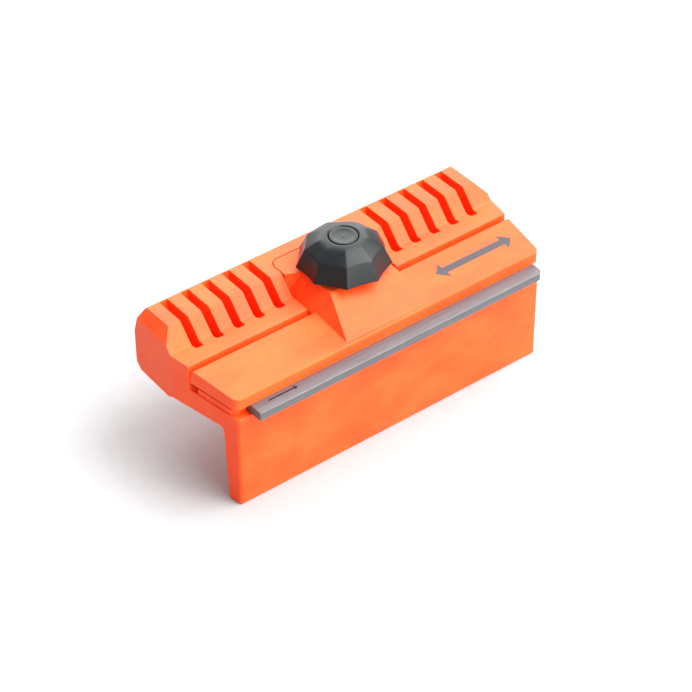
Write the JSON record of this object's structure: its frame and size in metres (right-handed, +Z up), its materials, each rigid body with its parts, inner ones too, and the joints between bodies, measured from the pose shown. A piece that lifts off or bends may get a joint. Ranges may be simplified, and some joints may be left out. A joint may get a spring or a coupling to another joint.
{
  "type": "hand-held file edge dresser",
  "caption": "Moulded fence and grip that hold a flat file square to an edge, under a clamp plate drawn down by a star knob.",
  "frame": {"origin": "centre of the bounding box in plan, at the foot of the fence", "axes": "+X along the fence, +Y from the fence's guide face towards the grip, +Z up from the fence's foot to the knob"},
  "size_m": [0.1226, 0.0526, 0.0583],
  "materials": {
    "body_plastic": "satin moulded",
    "plate_plastic": "satin moulded",
    "file_steel": "ground, with cut teeth",
    "knob_plastic": "satin moulded",
    "insert_brass": "turned",
    "bolt_steel": "zinc plated",
    "spring_steel": "drawn wire"
  },
  "bodies": {
    "holder": {"holder_body": "body_plastic", "clamp_bolt": "bolt_steel", "lift_spring": "spring_steel"},
    "clamp": {"clamp_plate": "plate_plastic", "thrust_washer": "bolt_steel"},
    "knob": {"clamp_knob": "knob_plastic", "knob_insert": "insert_brass", "knob_cap": "knob_plastic"},
    "file": {"flat_file": "file_steel"}
  },
  "joints": [
    {"name": "plate_lift", "type": "slide", "parent": "holder", "child": "clamp", "axis": [0, 0, 1], "range_m": [0, 0.004], "deforming": ["lift_spring"]},
    {"name": "knob_turn", "type": "hinge", "parent": "clamp", "child": "knob", "pos_m": [0, 0.0028, 0.0475], "axis": [0, 0, 1], "range_deg": [0, 1440]},
    {"name": "file_slide", "type": "slide", "parent": "holder", "child": "file", "axis": [1, 0, 0], "range_m": [0, 0.095]}
  ],
  "couplings": [
    {"joint": "plate_lift", "follows": "knob_turn", "m_per_rad": 0.00015915}
  ]
}
